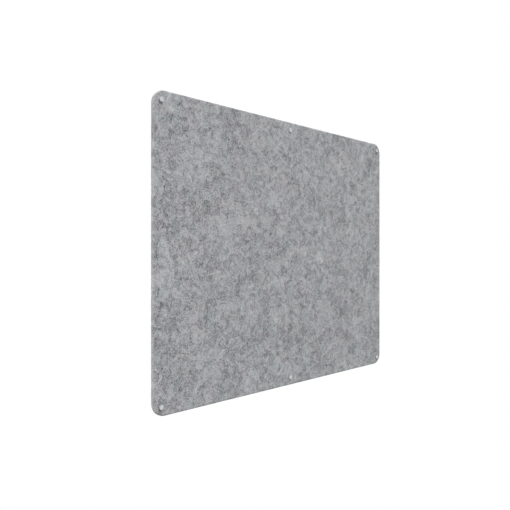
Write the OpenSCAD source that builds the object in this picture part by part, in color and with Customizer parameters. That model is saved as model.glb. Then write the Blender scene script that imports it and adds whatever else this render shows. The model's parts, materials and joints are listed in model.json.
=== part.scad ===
// Wall-hung pinboard of pressed felt on six stand-off fixings.
// The wall is the plane y = 0, the board's front looks towards -Y, X runs to the right and Z up.
// The origin is on the wall, at the middle of the four corner fixings.

/* [Board] */
// Width of the felt board
board_w = 1200; // [600:10:2400]
// Height of the felt board
board_h = 900; // [450:10:1200]
// Thickness of the felt
board_t = 9; // [5:0.5:25]
// Radius of the board's corners
corner_r = 40; // [10:1:60]

/* [Fixing places] */
// From a fixing's centre to the board's side edge
inset_side = 27; // [22:0.5:60]
// From a fixing's centre to the board's top or bottom edge
inset_end = 26; // [22:0.5:60]

/* [Barrel] */
// Diameter of the stand-off barrel and of the cap that matches it
fixing_d = 14; // [13:0.5:24]
// Length of the barrel, which is the most part of the gap behind the board
barrel_l = 12; // [9:0.5:40]
// Thickness of the barrel's base, which sits against the wall
base_t = 3; // [2.6:0.1:5]
// Clear height left above the base for the wall screw's head
head_room = 1.8; // [1:0.1:3]
// Hole in the base for the wall screw
screw_hole_d = 4; // [3:0.1:5]
// Width of the countersink in the base
sink_d = 7.6; // [6:0.1:7.8]
// Bevel on the barrel's outer edges
barrel_bevel = 0.4; // [0.1:0.1:1]

/* [Washers] */
// Thickness of the washer behind the board
rear_washer_t = 1; // [0.5:0.1:3]
// Thickness of the washer between board and cap
front_washer_t = 0.6; // [0.3:0.1:2]
// How far the washers' rims stay inside the cap's rim
washer_setback = 0.5; // [0.2:0.1:2]

/* [Cap and stud] */
// Thickness of the cap
cap_t = 3.6; // [3:0.1:8]
// Metal left in front of the stud's socket in the cap
cap_front_t = 1.4; // [0.8:0.1:2.5]
// Bevel round the cap's face
cap_bevel = 0.4; // [0.1:0.1:1]
// Outer diameter of the stud's thread
stud_d = 8; // [7.9:0.1:10]
// Bevel on the stud's ends
stud_bevel = 0.8; // [0.2:0.1:1.5]

/* [Play] */
// Play round the stud in the barrel's and the cap's thread, measured on the radius
thread_play = 0.05; // [0.02:0.01:0.1]
// Play round the stud in the felt and the washers, measured on the radius
pass_play = 0.3; // [0.2:0.05:1]

/* [Hidden] */
// Each fixing's name, and its place as shares of the pattern's half width and half height
PLACE_SHARES = [
    ["top_left", -1, 1],
    ["top_middle", 0, 1],
    ["top_right", 1, 1],
    ["bottom_left", -1, -1],
    ["bottom_middle", 0, -1],
    ["bottom_right", 1, -1],
];
PIECES = ["barrel", "rear_washer", "front_washer", "stud", "cap"];

// Half the spacing of the corner fixings
pattern_x = board_w / 2 - inset_side;
pattern_z = board_h / 2 - inset_end;
// Distances from the wall, from the back of the assembly to its front
board_back = barrel_l + rear_washer_t;
board_front = board_back + board_t;
cap_back = board_front + front_washer_t;
cap_front = cap_back + cap_t;
// The stud runs from above the wall screw's head to the bottom of the cap's socket
stud_back = base_t + head_room;
stud_front = cap_front - cap_front_t;
stud_r = stud_d / 2;
thread_r = stud_r + thread_play;
pass_r = stud_r + pass_play;
fixing_r = fixing_d / 2;
washer_r = fixing_r - washer_setback;
sink_depth = (sink_d - screw_hole_d) / 2;
// How far a cut runs past the face that it opens
overrun = 1;

$fn = 96;

// Stands its children on the wall at one fixing, with their +Z towards the room
module at_fixing(place) {
    translate([place[1] * pattern_x, 0, place[2] * pattern_z]) rotate([90, 0, 0]) children();
}

// A round bar between two distances from the wall, with a bevel at each end
module bar(r, from, to, bevel_from, bevel_to) {
    rotate_extrude() polygon([
        [0, from],
        [r - bevel_from, from],
        [r, from + bevel_from],
        [r, to - bevel_to],
        [r - bevel_to, to],
        [0, to],
    ]);
}

// A flat ring between two distances from the wall
module washer(from, to) {
    difference() {
        translate([0, 0, from]) cylinder(r = washer_r, h = to - from);
        translate([0, 0, from - overrun]) cylinder(r = pass_r, h = to - from + 2 * overrun);
    }
}

// The felt sheet: a slab with four round corners, drilled for the studs
module felt_board() {
    color([0.60, 0.61, 0.62]) difference() {
        translate([0, -board_back, 0]) rotate([90, 0, 0]) union() {
            translate([-board_w / 2, corner_r - board_h / 2, 0]) cube([board_w, board_h - 2 * corner_r, board_t]);
            translate([corner_r - board_w / 2, -board_h / 2, 0]) cube([board_w - 2 * corner_r, board_h, board_t]);
            for (x = [-1, 1], z = [-1, 1])
                translate([x * (board_w / 2 - corner_r), z * (board_h / 2 - corner_r), 0])
                    cylinder(r = corner_r, h = board_t);
        }
        for (place = PLACE_SHARES)
            at_fixing(place) translate([0, 0, board_back - overrun]) cylinder(r = pass_r, h = board_t + 2 * overrun);
    }
}

// Turned aluminium tube with a closed, countersunk base against the wall and a thread for the stud
module barrel(place) {
    color([0.78, 0.79, 0.80]) at_fixing(place) difference() {
        bar(fixing_r, 0, barrel_l, barrel_bevel, barrel_bevel);
        translate([0, 0, base_t]) cylinder(r = thread_r, h = barrel_l - base_t + overrun);
        translate([0, 0, -overrun]) cylinder(r = screw_hole_d / 2, h = base_t + 2 * overrun);
        translate([0, 0, base_t - sink_depth])
            cylinder(r1 = screw_hole_d / 2, r2 = sink_d / 2, h = sink_depth);
    }
}

// Clear washer between the barrel and the felt
module rear_washer(place) {
    color([0.86, 0.87, 0.87]) at_fixing(place) washer(barrel_l, board_back);
}

// Thin clear washer on which the cap turns against the felt
module front_washer(place) {
    color([0.86, 0.87, 0.87]) at_fixing(place) washer(board_front, cap_back);
}

// Threaded rod, fixed in the cap's socket
module stud(place) {
    color([0.70, 0.70, 0.70]) at_fixing(place) bar(stud_r, stud_back, stud_front, stud_bevel, stud_bevel);
}

// Flat round cap with a blind socket for the stud
module cap(place) {
    color([0.80, 0.80, 0.81]) at_fixing(place) difference() {
        bar(fixing_r, cap_back, cap_front, cap_bevel, cap_bevel);
        translate([0, 0, cap_back - overrun]) cylinder(r = thread_r, h = stud_front - cap_back + overrun);
    }
}

felt_board();
for (place = PLACE_SHARES) {
    barrel(place);
    rear_washer(place);
    front_washer(place);
    stud(place);
    cap(place);
}
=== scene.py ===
import json
import math

import bmesh
import bpy
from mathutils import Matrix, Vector, geometry, noise

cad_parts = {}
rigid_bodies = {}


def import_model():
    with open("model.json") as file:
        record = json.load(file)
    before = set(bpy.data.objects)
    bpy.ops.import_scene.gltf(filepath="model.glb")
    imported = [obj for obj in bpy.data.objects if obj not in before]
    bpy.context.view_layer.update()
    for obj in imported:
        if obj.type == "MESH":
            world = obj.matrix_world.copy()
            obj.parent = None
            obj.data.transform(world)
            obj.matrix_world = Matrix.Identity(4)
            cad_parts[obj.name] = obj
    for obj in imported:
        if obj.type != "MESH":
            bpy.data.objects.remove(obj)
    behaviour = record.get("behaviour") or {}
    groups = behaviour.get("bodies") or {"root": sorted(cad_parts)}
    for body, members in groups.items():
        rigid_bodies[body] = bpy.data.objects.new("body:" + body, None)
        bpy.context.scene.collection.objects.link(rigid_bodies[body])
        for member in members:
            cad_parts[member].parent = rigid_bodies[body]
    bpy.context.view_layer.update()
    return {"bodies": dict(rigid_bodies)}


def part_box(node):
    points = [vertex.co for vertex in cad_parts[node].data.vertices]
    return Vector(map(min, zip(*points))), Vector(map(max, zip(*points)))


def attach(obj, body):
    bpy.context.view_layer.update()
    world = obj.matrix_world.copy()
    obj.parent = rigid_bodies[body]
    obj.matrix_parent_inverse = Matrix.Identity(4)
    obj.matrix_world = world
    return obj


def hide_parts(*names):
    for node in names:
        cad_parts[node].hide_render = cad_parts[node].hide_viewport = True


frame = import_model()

# Looks of a wall-hung felt pinboard on six stand-off fixings. All lengths are in metres.
# X runs to the right, Z up, the board's front looks towards -Y and the wall is the plane y = 0.

MM = 0.001
PLACES = sorted(name[len("cap_"):] for name in frame["bodies"] if name.startswith("cap_"))
CAP_R = (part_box(f"cap_{PLACES[0]}")[1].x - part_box(f"cap_{PLACES[0]}")[0].x) / 2

# Felt sheet: its shape
CORNER_R = 40 * MM
HOLE_R = 4.3 * MM
CUT_ROUND = 0.35 * MM
CUT_ROUGHNESS = 0.12 * MM
CUT_LUMP_SIZE = 4 * MM
SWELL = 0.18 * MM
SWELL_LEVEL = 0.6
WAVE_LEVEL = 0.55
WIDE_WAVE = 60 * MM
NARROW_WAVE = 19 * MM
CLAMPED_REACH = 14 * MM
FRONT_SEED = 0.0
BACK_SEED = 0.4

# Felt sheet: its mesh
FELT_STEP = 5 * MM
GRID_MARGIN = 0.7 * FELT_STEP
CORNER_STEPS = 20
CUT_ROUND_STEPS = 3
CUT_ROWS = 5
HOLE_STEPS = 48
HOLE_ROWS = 3
RING_RADII = (5.2 * MM, 6.6 * MM, 8.2 * MM, 9.6 * MM, 11.5 * MM, 14 * MM, 17 * MM, 21 * MM)
GRID_FREE_R = RING_RADII[-1] + FELT_STEP / 2
FELT_SHARP_ANGLE = 80

# The kind of layout that keeps only the triangles inside its outer edges
TRIANGLES_INSIDE = 1

# Felt sheet: the sizes of its fibre patterns, and how strongly they show
CLOUD_SIZE = 120 * MM
CLOUD_SHARE = 0.2
TUFT_SIZE = 27 * MM
TUFT_SHARE = 0.39
FLECK_SIZE = 4.3 * MM
CURL_SIZE = 19 * MM
CURL_WIDTH = 0.036
HAIR_SETS = ((5.5 * MM, (-0.14, 0.12, -0.07)), (2.3 * MM, (-0.12, 0.14, 0.08)))
HAIR_WIDTH = 0.022
BATCH_SIZE = 40 * MM
FUZZ_SIZE = 2.5 * MM
TONE_PLACES = (0.1, 0.25, 0.5, 0.75, 0.9)
FACE_TONES = ("3C3E40", "5A5C5E", "9FA0A2", "CFD0D1", "E4E5E6")
# The cut edge's felt is lighter than the face's: partly paler cut fibres, partly painted light standing in
# for the light that falls on the edge
EDGE_TONES_PARTLY_PAINTED_LIGHT = ("4C4E50", "66686A", "A8A9AB", "D0D1D2", "E2E3E4")
EDGE_LAYERING = 4.0

# Fixings
TURN_STEPS = 96
ROUND_STEPS = 4
SHARP_ANGLE = 35
BORE_R = 4.05 * MM
CAP_ROUND = 0.5 * MM
CAP_HUB_R = 0.001 * MM
BARREL_ROUND = 0.4 * MM
BASE_T = 3 * MM
SCREW_HOLE_R = 2 * MM
SINK_R = 3.8 * MM
WASHER_ROUND = 0.12 * MM
SEAT_GAP = 0.01 * MM
THREAD_PITCH = 1.25 * MM
THREAD_DEPTH = 0.61 * THREAD_PITCH
THREAD_STEPS = 48
STUD_BEVEL = 0.8 * MM

# Points nearer than this are merged, in the felt and in the other meshes
FELT_MERGE = 1e-6
MERGE = 1e-7

# Faces of a turned piece that are thinner than this are dropped
SLIVER = 1e-8

# The sockets of a Mix node that mixes colours
MIX_A = 6
MIX_B = 7
MIXED = 2


def colour(code):
    """A hex colour code, as on a colour card, in the linear values that the shaders take."""
    channels = [int(code[i:i + 2], 16) / 255 for i in (0, 2, 4)]
    linear = [c / 12.92 if c <= 0.04045 else ((c + 0.055) / 1.055) ** 2.4 for c in channels]
    return (*linear, 1.0)


def add(tree, kind, inputs=None, **settings):
    """Adds a shader node, sets its options, and fills each input or links it to an output."""
    made = tree.nodes.new(kind)
    for name, value in settings.items():
        setattr(made, name, value)
    for socket, value in (inputs or {}).items():
        if isinstance(value, bpy.types.NodeSocket):
            tree.links.new(value, made.inputs[socket])
        else:
            made.inputs[socket].default_value = value
    return made


def start_material(name):
    """A new empty node material with its output, and the position on the piece for its patterns."""
    material = bpy.data.materials.new(name)
    material.use_nodes = True
    tree = material.node_tree
    tree.nodes.clear()
    output = add(tree, "ShaderNodeOutputMaterial")
    position = add(tree, "ShaderNodeTexCoord").outputs["Object"]
    return material, tree, output, position


def fibre_lines(tree, value, width):
    """1 along the thin lines where a noise crosses its middle value, falling to 0 at the width."""
    across = add(tree, "ShaderNodeMath", {0: value, 1: 0.5}, operation="SUBTRACT")
    across = add(tree, "ShaderNodeMath", {0: across.outputs[0]}, operation="ABSOLUTE")
    lines = add(tree, "ShaderNodeMapRange",
                {"Value": across.outputs[0], "From Max": width, "To Min": 1.0, "To Max": 0.0},
                interpolation_type="SMOOTHSTEP")
    return lines.outputs[0]


def felt_shade(tree, position, layering):
    """Lightness of the felt, 0 dark to 1 light, from fibre clouds, tufts, flecks, curls and single hairs.
    The layering flattens the small patterns across the sheet, as fibres in a cut edge lie in layers."""
    laid = add(tree, "ShaderNodeMapping", {"Vector": position, "Scale": (1.0, layering, 1.0)}).outputs[0]
    clouds = add(tree, "ShaderNodeTexNoise",
                 {"Vector": position, "Scale": 1 / CLOUD_SIZE, "Detail": 2.0, "Roughness": 0.85})
    tufts = add(tree, "ShaderNodeTexNoise",
                {"Vector": position, "Scale": 1 / TUFT_SIZE, "Detail": 1.0, "Roughness": 0.9,
                 "Distortion": 1.0})
    flecks = add(tree, "ShaderNodeTexNoise",
                 {"Vector": laid, "Scale": 1 / FLECK_SIZE, "Detail": 1.0, "Roughness": 1.0,
                  "Distortion": 0.8})
    strands = add(tree, "ShaderNodeTexNoise",
                  {"Vector": laid, "Scale": 1 / CURL_SIZE, "Detail": 1.0, "Roughness": 0.6,
                   "Distortion": 1.6})
    cloud = add(tree, "ShaderNodeMath", {0: clouds.outputs[0], 1: 0.5}, operation="SUBTRACT")
    tuft = add(tree, "ShaderNodeMath", {0: tufts.outputs[0], 1: 0.5}, operation="SUBTRACT")
    fleck = add(tree, "ShaderNodeMath", {0: flecks.outputs[0], 1: 0.5}, operation="SUBTRACT")
    broad = add(tree, "ShaderNodeMath", {0: cloud.outputs[0], 1: CLOUD_SHARE, 2: 0.5},
                operation="MULTIPLY_ADD")
    broad = add(tree, "ShaderNodeMath", {0: tuft.outputs[0], 1: TUFT_SHARE, 2: broad.outputs[0]},
                operation="MULTIPLY_ADD")
    # Flecks and curls stand out more in the dark clouds than in the light ones
    contrast = add(tree, "ShaderNodeMapRange",
                   {"Value": broad.outputs[0], "From Min": 0.45, "From Max": 0.54,
                    "To Min": 0.74, "To Max": 0.5})
    fine = add(tree, "ShaderNodeMath", {0: fleck.outputs[0], 1: contrast.outputs[0]}, operation="MULTIPLY")
    shade = add(tree, "ShaderNodeMath", {0: broad.outputs[0], 1: fine.outputs[0]}, operation="ADD")
    curl = fibre_lines(tree, strands.outputs[0], CURL_WIDTH)
    amount = add(tree, "ShaderNodeMapRange",
                 {"Value": broad.outputs[0], "From Min": 0.46, "From Max": 0.53,
                  "To Min": 0.16, "To Max": 0.05})
    dark = add(tree, "ShaderNodeMath", {0: curl, 1: amount.outputs[0]}, operation="MULTIPLY")
    shade = add(tree, "ShaderNodeMath", {0: shade.outputs[0], 1: dark.outputs[0]}, operation="SUBTRACT")
    # Single hairs, dark and light. Real ones are about 0.05 mm thick and are drawn coarser to show at all
    for spacing, levels in HAIR_SETS:
        hairs = add(tree, "ShaderNodeTexNoise",
                    {"Vector": laid, "Scale": 1 / spacing, "Detail": 1.0, "Roughness": 0.7,
                     "Distortion": 0.9})
        sets = add(tree, "ShaderNodeSeparateColor", {"Color": hairs.outputs["Color"]})
        for hair_set, level in zip(sets.outputs, levels):
            line = fibre_lines(tree, hair_set, HAIR_WIDTH)
            shade = add(tree, "ShaderNodeMath", {0: line, 1: level, 2: shade.outputs[0]},
                        operation="MULTIPLY_ADD")
    return shade.outputs[0]


def needled_felt(name, tones, layering=1.0):
    """Needled polyester felt, pressed into a sheet: dark and light fibres mixed into soft mottled clouds.
    It is dull all over, with a faint velvet sheen at the rim and no gloss."""
    material, tree, output, position = start_material(name)
    shade = felt_shade(tree, position, layering)
    ramp = add(tree, "ShaderNodeValToRGB", {"Fac": shade})
    while len(ramp.color_ramp.elements) < len(tones):
        ramp.color_ramp.elements.new(0.5)
    for element, tone_place, code in zip(ramp.color_ramp.elements, TONE_PLACES, tones):
        element.position = tone_place
        element.color = colour(code)
    # Batches of slightly greener and rosier fibre, hardly seen, take the deadness out of the grey
    batches = add(tree, "ShaderNodeTexNoise", {"Vector": position, "Scale": 1 / BATCH_SIZE, "Detail": 1.0})
    batch = add(tree, "ShaderNodeMapRange",
                {"Value": batches.outputs[0], "From Min": 0.35, "From Max": 0.65})
    tint = add(tree, "ShaderNodeMix",
               {"Factor": batch.outputs[0], MIX_A: colour("FCFFFF"), MIX_B: colour("FFFCFE")},
               data_type="RGBA")
    tone = add(tree, "ShaderNodeMix",
               {"Factor": 1.0, MIX_A: ramp.outputs["Color"], MIX_B: tint.outputs[MIXED]},
               data_type="RGBA", blend_type="MULTIPLY")
    fuzz = add(tree, "ShaderNodeTexNoise",
               {"Vector": position, "Scale": 1 / FUZZ_SIZE, "Detail": 3.0, "Roughness": 0.7,
                "Distortion": 1.2})
    relief = add(tree, "ShaderNodeBump",
                 {"Height": fuzz.outputs[0], "Strength": 0.6, "Distance": 0.15 * MM})
    shader = add(tree, "ShaderNodeBsdfPrincipled",
                 {"Base Color": tone.outputs[MIXED], "Normal": relief.outputs["Normal"], "Roughness": 0.95,
                  "IOR": 1.5, "Specular IOR Level": 0.15, "Sheen Weight": 0.08, "Sheen Roughness": 0.6})
    tree.links.new(shader.outputs[0], output.inputs["Surface"])
    return material


def blasted_aluminium():
    """Aluminium, bead-blasted and clear anodised: an even satin grey with a fine frosted grain."""
    material, tree, output, position = start_material("blasted_anodised_aluminium")
    # The pits that blasting leaves are about 0.1 mm wide and are drawn coarser to show close up
    grain = add(tree, "ShaderNodeTexNoise", {"Vector": position, "Scale": 1 / (0.25 * MM), "Detail": 2.0})
    tone = add(tree, "ShaderNodeMix",
               {"Factor": grain.outputs[0], MIX_A: colour("D2D3D4"), MIX_B: colour("DEDFE0")},
               data_type="RGBA")
    gloss = add(tree, "ShaderNodeMapRange", {"Value": grain.outputs[0], "To Min": 0.74, "To Max": 0.84})
    relief = add(tree, "ShaderNodeBump",
                 {"Height": grain.outputs[0], "Strength": 0.25, "Distance": 0.02 * MM})
    shader = add(tree, "ShaderNodeBsdfPrincipled",
                 {"Base Color": tone.outputs[MIXED], "Metallic": 1.0, "Roughness": gloss.outputs[0],
                  "Normal": relief.outputs["Normal"]})
    tree.links.new(shader.outputs[0], output.inputs["Surface"])
    return material


def turned_aluminium():
    """Aluminium tube turned on a lathe and anodised: satin silver with fine rings round its axis."""
    material, tree, output, position = start_material("turned_anodised_aluminium")
    rings = add(tree, "ShaderNodeMapping", {"Vector": position, "Scale": (1.0, 1 / (0.12 * MM), 1.0)})
    marks = add(tree, "ShaderNodeTexNoise", {"Vector": rings.outputs[0], "Scale": 1.0, "Detail": 2.0})
    tone = add(tree, "ShaderNodeMix",
               {"Factor": marks.outputs[0], MIX_A: colour("AFB0B2"), MIX_B: colour("CDCED0")},
               data_type="RGBA")
    gloss = add(tree, "ShaderNodeMapRange", {"Value": marks.outputs[0], "To Min": 0.26, "To Max": 0.42})
    relief = add(tree, "ShaderNodeBump",
                 {"Height": marks.outputs[0], "Strength": 0.3, "Distance": 0.02 * MM})
    shader = add(tree, "ShaderNodeBsdfPrincipled",
                 {"Base Color": tone.outputs[MIXED], "Metallic": 1.0, "Roughness": gloss.outputs[0],
                  "Normal": relief.outputs["Normal"]})
    tree.links.new(shader.outputs[0], output.inputs["Surface"])
    return material


def zinc_plated_steel():
    """Steel rod with a rolled thread, zinc plated: bright bluish grey, a little cloudy."""
    material, tree, output, position = start_material("zinc_plated_steel")
    cloud = add(tree, "ShaderNodeTexNoise", {"Vector": position, "Scale": 1 / (1.5 * MM), "Detail": 3.0})
    tone = add(tree, "ShaderNodeMix",
               {"Factor": cloud.outputs[0], MIX_A: colour("A3A6AA"), MIX_B: colour("C3C6C9")},
               data_type="RGBA")
    gloss = add(tree, "ShaderNodeMapRange", {"Value": cloud.outputs[0], "To Min": 0.22, "To Max": 0.38})
    shader = add(tree, "ShaderNodeBsdfPrincipled",
                 {"Base Color": tone.outputs[MIXED], "Metallic": 1.0, "Roughness": gloss.outputs[0]})
    tree.links.new(shader.outputs[0], output.inputs["Surface"])
    return material


def clear_washer_plastic():
    """Polycarbonate, punched from clear film: see-through with a slightly frosted rim."""
    material, tree, output, position = start_material("clear_polycarbonate")
    haze = add(tree, "ShaderNodeTexNoise", {"Vector": position, "Scale": 1 / (2 * MM), "Detail": 2.0})
    gloss = add(tree, "ShaderNodeMapRange", {"Value": haze.outputs[0], "To Min": 0.12, "To Max": 0.28})
    tone = add(tree, "ShaderNodeMix",
               {"Factor": haze.outputs[0], MIX_A: colour("E6E8E8"), MIX_B: colour("F2F3F3")},
               data_type="RGBA")
    shader = add(tree, "ShaderNodeBsdfPrincipled",
                 {"Base Color": tone.outputs[MIXED], "Roughness": gloss.outputs[0], "IOR": 1.58,
                  "Transmission Weight": 0.85})
    tree.links.new(shader.outputs[0], output.inputs["Surface"])
    return material


def finish_piece(mesh_data, name, node, body, materials, sharp_angle=SHARP_ANGLE):
    """Puts a finished mesh in the scene in place of its plain solid and lets it ride on its body."""
    mesh_data.validate()
    mesh_data.shade_smooth()
    mesh_data.set_sharp_from_angle(angle=math.radians(sharp_angle))
    for material in materials:
        mesh_data.materials.append(material)
    piece = bpy.data.objects.new(name, mesh_data)
    bpy.context.scene.collection.objects.link(piece)
    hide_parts(node)
    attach(piece, body)
    return piece


def ring_faces(bm, rings):
    """Joins each ring of points to the next by four-sided faces."""
    faces = []
    for first, second in zip(rings, rings[1:]):
        for k in range(len(first)):
            n = (k + 1) % len(first)
            faces.append(bm.faces.new((first[k], first[n], second[n], second[k])))
    return faces


def closed_mesh(bm, name):
    """Turns all faces outwards and writes the finished mesh."""
    bmesh.ops.recalc_face_normals(bm, faces=bm.faces)
    mesh_data = bpy.data.meshes.new(name)
    bm.to_mesh(mesh_data)
    bm.free()
    return mesh_data


# Felt sheet

def fixing_centre(place):
    """Where a fixing's axis crosses the board, as (x, z)."""
    low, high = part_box(f"cap_{place}")
    return Vector(((low.x + high.x) / 2, (low.z + high.z) / 2))


def sheet_outline(low, high):
    """Points round the sheet, anticlockwise seen from the front, each with its outward direction."""
    corners = (
        (Vector((high.x - CORNER_R, high.z - CORNER_R)), 0),
        (Vector((low.x + CORNER_R, high.z - CORNER_R)), 90),
        (Vector((low.x + CORNER_R, low.z + CORNER_R)), 180),
        (Vector((high.x - CORNER_R, low.z + CORNER_R)), 270),
    )
    rim = []
    for index, (centre, first) in enumerate(corners):
        for step in range(CORNER_STEPS + 1):
            angle = math.radians(first + 90 * step / CORNER_STEPS)
            outward = Vector((math.cos(angle), math.sin(angle)))
            rim.append((centre + CORNER_R * outward, outward))
        start, outward = rim[-1]
        end = corners[(index + 1) % 4][0] + CORNER_R * outward
        count = round((end - start).length / FELT_STEP)
        rim += [(start.lerp(end, k / count), outward) for k in range(1, count)]
    return rim


def inside_rim(point, low, high, margin):
    """Whether a point lies inside the rounded outline by at least the margin."""
    across = max(abs(point.x - (low.x + high.x) / 2) - ((high.x - low.x) / 2 - CORNER_R), 0)
    along = max(abs(point.y - (low.z + high.z) / 2) - ((high.z - low.z) / 2 - CORNER_R), 0)
    return math.hypot(across, along) < CORNER_R - margin


def face_layout(low, high, rim, centres):
    """Flat triangles of one face of the sheet: its points as (x, z) and its triangles, holes left open."""
    border = [point - CUT_ROUND * outward for point, outward in rim]
    points = list(border)
    edges = [(k, (k + 1) % len(border)) for k in range(len(border))]
    loop_of = [-1] * len(border)
    for index, centre in enumerate(centres):
        first = len(points)
        edges += [(first + k, first + (k + 1) % HOLE_STEPS) for k in range(HOLE_STEPS)]
        for radius in (HOLE_R, *RING_RADII):
            for k in range(HOLE_STEPS):
                angle = 2 * math.pi * k / HOLE_STEPS
                points.append(centre + radius * Vector((math.cos(angle), math.sin(angle))))
                loop_of.append(index if radius == HOLE_R else -1)
    columns = int((high.x - low.x) / FELT_STEP)
    rows = int((high.z - low.z) / FELT_STEP)
    for column in range(columns + 1):
        for row in range(rows + 1):
            point = Vector((low.x + column * FELT_STEP, low.z + row * FELT_STEP))
            near_fixing = any((point - centre).length < GRID_FREE_R for centre in centres)
            if inside_rim(point, low, high, GRID_MARGIN) and not near_fixing:
                points.append(point)
                loop_of.append(-1)
    layout = geometry.delaunay_2d_cdt(points, edges, [], TRIANGLES_INSIDE, MERGE)
    made, _, triangles, sources, _, _ = layout
    # A triangle whose three corners lie on one hole's rim fills that hole, so it is left out
    loops = [loop_of[source[0]] for source in sources]
    kept = [t for t in triangles if loops[t[0]] < 0 or len({loops[k] for k in t}) > 1]
    return made, kept


def felt_relief(x, z, seed, centres):
    """How far the felt stands proud of its clamped thickness: low waves, pinched flat at each fixing."""
    spot = Vector((x, z, seed))
    waves = noise.noise(spot / WIDE_WAVE) + 0.5 * noise.noise(spot / NARROW_WAVE)
    nearest = min((Vector((x, z)) - centre).length for centre in centres)
    release = min(max((nearest - CAP_R) / CLAMPED_REACH, 0), 1)
    return SWELL * release * release * (3 - 2 * release) * (SWELL_LEVEL + WAVE_LEVEL * waves)


def felt_faces(bm, low, high, layout, triangles, centres):
    """The sheet's front and back face, each with its own low relief."""
    for y, side, seed in ((low.y, -1, FRONT_SEED), (high.y, 1, BACK_SEED)):
        verts = [bm.verts.new((p.x, y + side * felt_relief(p.x, p.y, seed, centres), p.y)) for p in layout]
        for corners in triangles:
            bm.faces.new([verts[k] for k in (corners if side < 0 else reversed(corners))])


def cut_profile(low, high):
    """The cut edge as (inset, y) points: round the front's softened corner, across and round to the back."""
    quarter = [math.radians(90 * k / CUT_ROUND_STEPS) for k in range(CUT_ROUND_STEPS + 1)]
    bends = [(CUT_ROUND * (1 - math.sin(a)), CUT_ROUND * (1 - math.cos(a))) for a in quarter]
    span = high.y - low.y - 2 * CUT_ROUND
    profile = [(inset, low.y + depth) for inset, depth in bends]
    profile += [(0, low.y + CUT_ROUND + span * k / CUT_ROWS) for k in range(1, CUT_ROWS)]
    profile += [(inset, high.y - depth) for inset, depth in reversed(bends)]
    return profile


def cut_edge(bm, low, high, rim, centres):
    """The cut edge all round the sheet: slightly rough, and joined to both faces along their relief."""
    profile = cut_profile(low, high)
    rows = []
    for step, (inset, y) in enumerate(profile):
        row = []
        for point, outward in rim:
            spot = point - inset * outward
            if step == 0:
                y_here = y - felt_relief(spot.x, spot.y, FRONT_SEED, centres)
            elif step == len(profile) - 1:
                y_here = y + felt_relief(spot.x, spot.y, BACK_SEED, centres)
            else:
                y_here = y
                lump = CUT_ROUGHNESS * noise.noise(Vector((spot.x, y, spot.y)) / CUT_LUMP_SIZE)
                spot = spot + lump * outward
            row.append(bm.verts.new((spot.x, y_here, spot.y)))
        rows.append(row)
    for first, second in zip(rows, rows[1:]):
        for k in range(len(rim)):
            n = (k + 1) % len(rim)
            face = bm.faces.new((first[k], second[k], second[n], first[n]))
            face.material_index = 1


def stud_hole(bm, low, high, centre):
    """The wall of one hole through the sheet."""
    rings = []
    for step in range(HOLE_ROWS + 1):
        y = low.y + (high.y - low.y) * step / HOLE_ROWS
        ring = []
        for k in range(HOLE_STEPS):
            angle = 2 * math.pi * k / HOLE_STEPS
            spot = centre + HOLE_R * Vector((math.cos(angle), math.sin(angle)))
            ring.append(bm.verts.new((spot.x, y, spot.y)))
        rings.append(ring)
    for face in ring_faces(bm, rings):
        face.material_index = 1


def felt_sheet(face_felt, edge_felt):
    """The pressed felt sheet with its low relief, softened cut edges and open holes for the studs."""
    low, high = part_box("felt_board")
    centres = [fixing_centre(place) for place in PLACES]
    rim = sheet_outline(low, high)
    layout, triangles = face_layout(low, high, rim, centres)
    bm = bmesh.new()
    felt_faces(bm, low, high, layout, triangles, centres)
    cut_edge(bm, low, high, rim, centres)
    for centre in centres:
        stud_hole(bm, low, high, centre)
    bmesh.ops.remove_doubles(bm, verts=bm.verts, dist=FELT_MERGE)
    mesh_data = closed_mesh(bm, "felt_sheet")
    return finish_piece(mesh_data, "felt_sheet", "felt_board", "board", [face_felt, edge_felt],
                        FELT_SHARP_ANGLE)


# Turned pieces of the fixings

def rounded(points, radius):
    """An outline of (radius, y) points with all its corners but the first and last point rounded off."""
    # A corner takes just under half of each side, so that two corners never meet
    just_over_two = 2.01
    done = [points[0]]
    for before, corner, after in zip(points, points[1:], points[2:]):
        here = Vector(corner)
        back = Vector(before) - here
        ahead = Vector(after) - here
        cut = min(radius, back.length / just_over_two, ahead.length / just_over_two)
        start = here + back.normalized() * cut
        end = here + ahead.normalized() * cut
        for k in range(ROUND_STEPS + 1):
            t = k / ROUND_STEPS
            done.append(tuple(start.lerp(here, t).lerp(here.lerp(end, t), t)))
    return done + [points[-1]]


def turned(name, outline, centre):
    """A mesh turned on the fixing's axis from (radius, y) points, closed where they meet the axis."""
    bm = bmesh.new()
    rings = []
    for radius, y in outline:
        ring = []
        for k in range(TURN_STEPS):
            angle = 2 * math.pi * k / TURN_STEPS
            x = centre.x + radius * math.cos(angle)
            z = centre.y + radius * math.sin(angle)
            ring.append(bm.verts.new((x, y, z)))
        rings.append(ring)
    ring_faces(bm, rings)
    bmesh.ops.remove_doubles(bm, verts=bm.verts, dist=MERGE)
    bmesh.ops.dissolve_degenerate(bm, edges=bm.edges, dist=SLIVER)
    return closed_mesh(bm, name)


def cap_disc(place, metal):
    """The flat round cap: softened rims and a blind socket that holds the stud."""
    low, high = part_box(f"cap_{place}")
    stud_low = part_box(f"stud_{place}")[0]
    r = (high.x - low.x) / 2
    # The face starts at a tiny ring, so that only tiny triangles meet at the axis
    disc = rounded([(CAP_HUB_R, low.y), (r, low.y), (r, high.y), (BORE_R, high.y)], CAP_ROUND)
    outline = [(0, low.y), *disc, (BORE_R, stud_low.y), (0, stud_low.y)]
    mesh_data = turned("cap_disc", outline, fixing_centre(place))
    return finish_piece(mesh_data, f"cap_disc_{place}", f"cap_{place}", f"cap_{place}", [metal])


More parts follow.
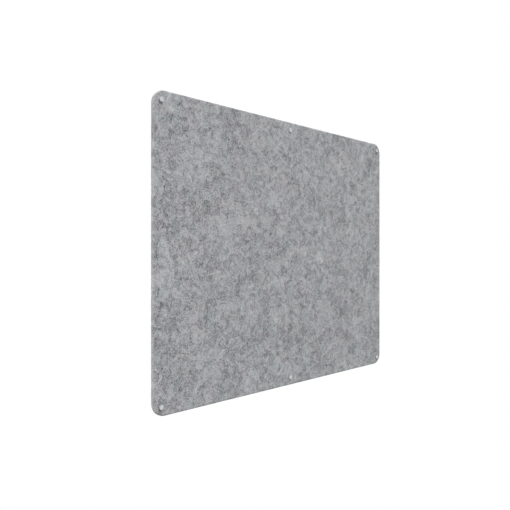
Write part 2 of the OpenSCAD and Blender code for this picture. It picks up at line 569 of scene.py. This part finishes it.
def standoff_barrel(place, metal):
    """The stand-off tube: open towards the board, with a countersunk base against the wall."""
    low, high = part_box(f"barrel_{place}")
    r = (high.x - low.x) / 2
    bore_end = high.y - BASE_T
    sink_end = bore_end + (SINK_R - SCREW_HOLE_R)
    mouth = (BORE_R, low.y + BARREL_ROUND)
    shell = rounded([(BORE_R + BARREL_ROUND, low.y), (r, low.y), (r, high.y), (SCREW_HOLE_R, high.y)],
                    BARREL_ROUND)
    base = [(SCREW_HOLE_R, sink_end), (SINK_R, bore_end), (BORE_R, bore_end)]
    outline = [mouth, *shell, *base, mouth]
    mesh_data = turned("standoff_barrel", outline, fixing_centre(place))
    return finish_piece(mesh_data, f"standoff_barrel_{place}", f"barrel_{place}", "board",
                        [metal])


def clear_washer(side, place, plastic):
    """A flat clear ring with softened rims, behind the board or between board and cap."""
    low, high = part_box(f"{side}_washer_{place}")
    r = (high.x - low.x) / 2
    # A hair's breadth short of what it touches, so that no two faces share a plane
    front = low.y + SEAT_GAP
    back = high.y - SEAT_GAP
    # The outline starts half-way along the hole, so that all four corners are rounded
    start = (HOLE_R, (front + back) / 2)
    outline = rounded([start, (HOLE_R, front), (r, front), (r, back), (HOLE_R, back), start], WASHER_ROUND)
    mesh_data = turned("clear_washer", outline, fixing_centre(place))
    node = f"{side}_washer_{place}"
    body = "board" if side == "rear" else f"washer_{place}"
    return finish_piece(mesh_data, f"clear_{side}_washer_{place}", node, body, [plastic])


def threaded_stud(place, metal):
    """The stud with its rolled thread, a helix of flat crests and flat roots, bevelled at both ends."""
    low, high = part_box(f"stud_{place}")
    centre = fixing_centre(place)
    crest = (high.x - low.x) / 2
    root = crest - THREAD_DEPTH
    # Where the crest and the root start and end, as shares of one pitch
    thread_shares = ((0.0, crest), (0.125, crest), (0.4375, root), (0.6875, root))
    turns = math.ceil((high.y - low.y) / THREAD_PITCH) + 1
    bm = bmesh.new()
    columns = []
    for k in range(THREAD_STEPS):
        turn = k / THREAD_STEPS
        angle = 2 * math.pi * turn
        column = []
        for whole in range(-1, turns):
            for share, radius in thread_shares:
                y = high.y - (whole + share + turn) * THREAD_PITCH
                y = min(max(y, low.y), high.y)
                r = min(radius, crest - STUD_BEVEL + min(y - low.y, high.y - y))
                x = centre.x + r * math.cos(angle)
                z = centre.y + r * math.sin(angle)
                column.append(bm.verts.new((x, y, z)))
        columns.append(column)
    # The last column meets the first one a whole turn further along the thread
    per_turn = len(thread_shares)
    for k, column in enumerate(columns):
        closing = k == THREAD_STEPS - 1
        following = columns[0] if closing else columns[k + 1]
        shift = per_turn if closing else 0
        for row in range(len(column) - 1 - shift):
            bm.faces.new((column[row], column[row + 1], following[row + 1 + shift], following[row + shift]))
    bmesh.ops.remove_doubles(bm, verts=bm.verts, dist=MERGE)
    bmesh.ops.dissolve_degenerate(bm, edges=bm.edges, dist=MERGE)
    bmesh.ops.holes_fill(bm, edges=[edge for edge in bm.edges if edge.is_boundary])
    mesh_data = closed_mesh(bm, "threaded_stud")
    return finish_piece(mesh_data, f"threaded_stud_{place}", f"stud_{place}", f"cap_{place}",
                        [metal])


# Studio: floor, light and camera

WORLD_LEVEL = 0.12
FLOOR_Z = -1.5
FLOOR_HALF = 12.0
FLOOR_PATCH = (-0.45, 0.45, 0.0)
CLEAR_FLOOR_R = 0.9
WHITE_FLOOR_R = 1.45
CAMERA_PLACE = (-1.70058, -1.36267, -0.00492)
CAMERA_TURN = -48.576
CAMERA_LENS_MM = 44.42
FILM_WIDTH_MM = 36.0


def studio_rays(tree):
    """1 for the rays that show the white background: camera, glossy and transmission rays."""
    path = add(tree, "ShaderNodeLightPath")
    rays = add(tree, "ShaderNodeMath", {0: path.outputs["Is Camera Ray"], 1: path.outputs["Is Glossy Ray"]},
               operation="MAXIMUM")
    rays = add(tree, "ShaderNodeMath", {0: rays.outputs[0], 1: path.outputs["Is Transmission Ray"]},
               operation="MAXIMUM")
    return rays.outputs[0]


def studio_floor():
    """A plain pale floor that takes the board's shadow and fades to the white background further out."""
    material, tree, output, position = start_material("pale_studio_floor")
    reach = add(tree, "ShaderNodeVectorMath", {0: position, 1: FLOOR_PATCH}, operation="DISTANCE")
    fade = add(tree, "ShaderNodeMapRange",
               {"Value": reach.outputs["Value"], "From Min": CLEAR_FLOOR_R, "From Max": WHITE_FLOOR_R},
               interpolation_type="SMOOTHSTEP")
    rays = studio_rays(tree)
    share = add(tree, "ShaderNodeMath", {0: fade.outputs[0], 1: rays}, operation="MULTIPLY")
    # The floor throws back less light than it shows, so that the shadows round the caps stay deep
    shown = add(tree, "ShaderNodeMix", {"Factor": rays, MIX_A: colour("8C8C8C"), MIX_B: colour("C6C6C6")},
                data_type="RGBA")
    paint = add(tree, "ShaderNodeBsdfDiffuse", {"Color": shown.outputs[MIXED]})
    white = add(tree, "ShaderNodeEmission", {"Color": colour("FFFFFF"), "Strength": 1.0})
    surface = add(tree, "ShaderNodeMixShader",
                  {0: share.outputs[0], 1: paint.outputs[0], 2: white.outputs[0]})
    tree.links.new(surface.outputs[0], output.inputs["Surface"])
    mesh_data = bpy.data.meshes.new("studio_floor")
    corners = [(x * FLOOR_HALF, y * FLOOR_HALF, 0) for x, y in ((-1, -1), (1, -1), (1, 1), (-1, 1))]
    mesh_data.from_pydata(corners, [], [(0, 1, 2, 3)])
    mesh_data.materials.append(material)
    floor = bpy.data.objects.new("studio_floor", mesh_data)
    floor.location.z = FLOOR_Z
    bpy.context.scene.collection.objects.link(floor)


def studio_world(strength):
    """Even soft light from all round, and plain white behind the object."""
    world = bpy.data.worlds.new("studio_world")
    bpy.context.scene.world = world
    world.use_nodes = True
    tree = world.node_tree
    tree.nodes.clear()
    level = add(tree, "ShaderNodeMapRange", {"Value": studio_rays(tree), "To Min": strength, "To Max": 1.0})
    light = add(tree, "ShaderNodeBackground", {"Color": colour("FFFFFF"), "Strength": level.outputs[0]})
    output = add(tree, "ShaderNodeOutputWorld")
    tree.links.new(light.outputs[0], output.inputs["Surface"])


def soft_lamp(name, place, target, size, power, reflected=True):
    """A square soft lamp turned to its target. It isn't seen itself, but metal reflects it if so set."""
    data = bpy.data.lights.new(name, "AREA")
    data.shape = "SQUARE"
    data.size = size
    data.energy = power
    lamp = bpy.data.objects.new(name, data)
    lamp.location = place
    lamp.rotation_euler = (Vector(target) - Vector(place)).to_track_quat("-Z", "Y").to_euler()
    lamp.visible_camera = False
    lamp.visible_glossy = reflected
    bpy.context.scene.collection.objects.link(lamp)


def studio_camera():
    """The camera of the photograph: level, in front and to the left of the board."""
    data = bpy.data.cameras.new("camera")
    data.sensor_width = FILM_WIDTH_MM
    data.lens = CAMERA_LENS_MM
    data.clip_start = 0.05
    data.clip_end = 60.0
    camera = bpy.data.objects.new("camera", data)
    camera.location = CAMERA_PLACE
    camera.rotation_euler = (math.radians(90), 0, math.radians(CAMERA_TURN))
    bpy.context.scene.collection.objects.link(camera)
    bpy.context.scene.camera = camera


bpy.context.scene.view_settings.view_transform = "Standard"
studio_camera()
studio_world(WORLD_LEVEL)
studio_floor()
soft_lamp("key_lamp", place=(1.8, -13.0, 24.9), target=(0, 0, 0), size=11.0, power=10400, reflected=False)
soft_lamp("low_lamp", place=(-0.4, -3.0, -1.2), target=(0, 0, -0.4), size=1.6, power=6)
soft_lamp("edge_lamp", place=(-3.2, -0.25, 0.0), target=(-0.6, 0, 0), size=1.6, power=60, reflected=False)
soft_lamp("back_lamp", place=(1.4, 2.9, 3.2), target=(0, 0, 0), size=2.4, power=236)

face_felt = needled_felt("pressed_polyester_felt", FACE_TONES)
# The edge felt's lighter tones hold painted light on the cut edge as well as its paler cut fibres
edge_felt = needled_felt("cut_polyester_felt", EDGE_TONES_PARTLY_PAINTED_LIGHT, layering=EDGE_LAYERING)
cap_metal = blasted_aluminium()
barrel_metal = turned_aluminium()
stud_metal = zinc_plated_steel()
washer_plastic = clear_washer_plastic()

felt_sheet(face_felt, edge_felt)
for place in PLACES:
    cap_disc(place, cap_metal)
    threaded_stud(place, stud_metal)
    clear_washer("front", place, washer_plastic)
    clear_washer("rear", place, washer_plastic)
    standoff_barrel(place, barrel_metal)
